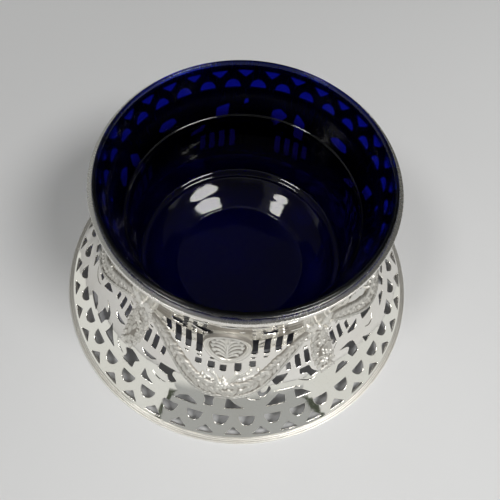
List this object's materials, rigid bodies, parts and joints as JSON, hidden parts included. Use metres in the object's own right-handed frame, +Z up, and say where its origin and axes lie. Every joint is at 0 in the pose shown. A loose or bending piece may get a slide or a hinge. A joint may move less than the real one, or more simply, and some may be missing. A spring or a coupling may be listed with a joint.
{
  "type": "dish ring with glass liner",
  "caption": "Round pierced silver stand with a narrow waist, spreading foot, oval medallions and swags, holding a lift-out blue glass liner.",
  "frame": {"origin": "centre of the ring's foot, on the table", "axes": "+Z up along the ring's axis, front medallion facing -Y"},
  "size_m": [0.136, 0.136, 0.0723],
  "materials": {
    "silver_sheet": "polished silver, lightly worn",
    "silver_wire": "polished silver wire",
    "silver_ornament": "cast and chased silver, soft sheen",
    "blue_glass": "polished cobalt blue glass"
  },
  "bodies": {
    "ring": {"pierced_wall": "silver_sheet", "foot_wire": "silver_wire", "rim_wire": "silver_wire", "medallion_1": "silver_ornament", "medallion_2": "silver_ornament", "medallion_3": "silver_ornament", "medallion_4": "silver_ornament", "swag_1": "silver_ornament", "swag_2": "silver_ornament", "swag_3": "silver_ornament", "swag_4": "silver_ornament", "floral_drop_1": "silver_ornament", "floral_drop_2": "silver_ornament", "floral_drop_3": "silver_ornament", "floral_drop_4": "silver_ornament"},
    "liner": {"glass_liner": "blue_glass"}
  },
  "joints": [
    {"name": "liner_lift", "type": "slide", "parent": "ring", "child": "liner", "axis": [0, 0, 1], "range_m": [0, 0.065]}
  ]
}
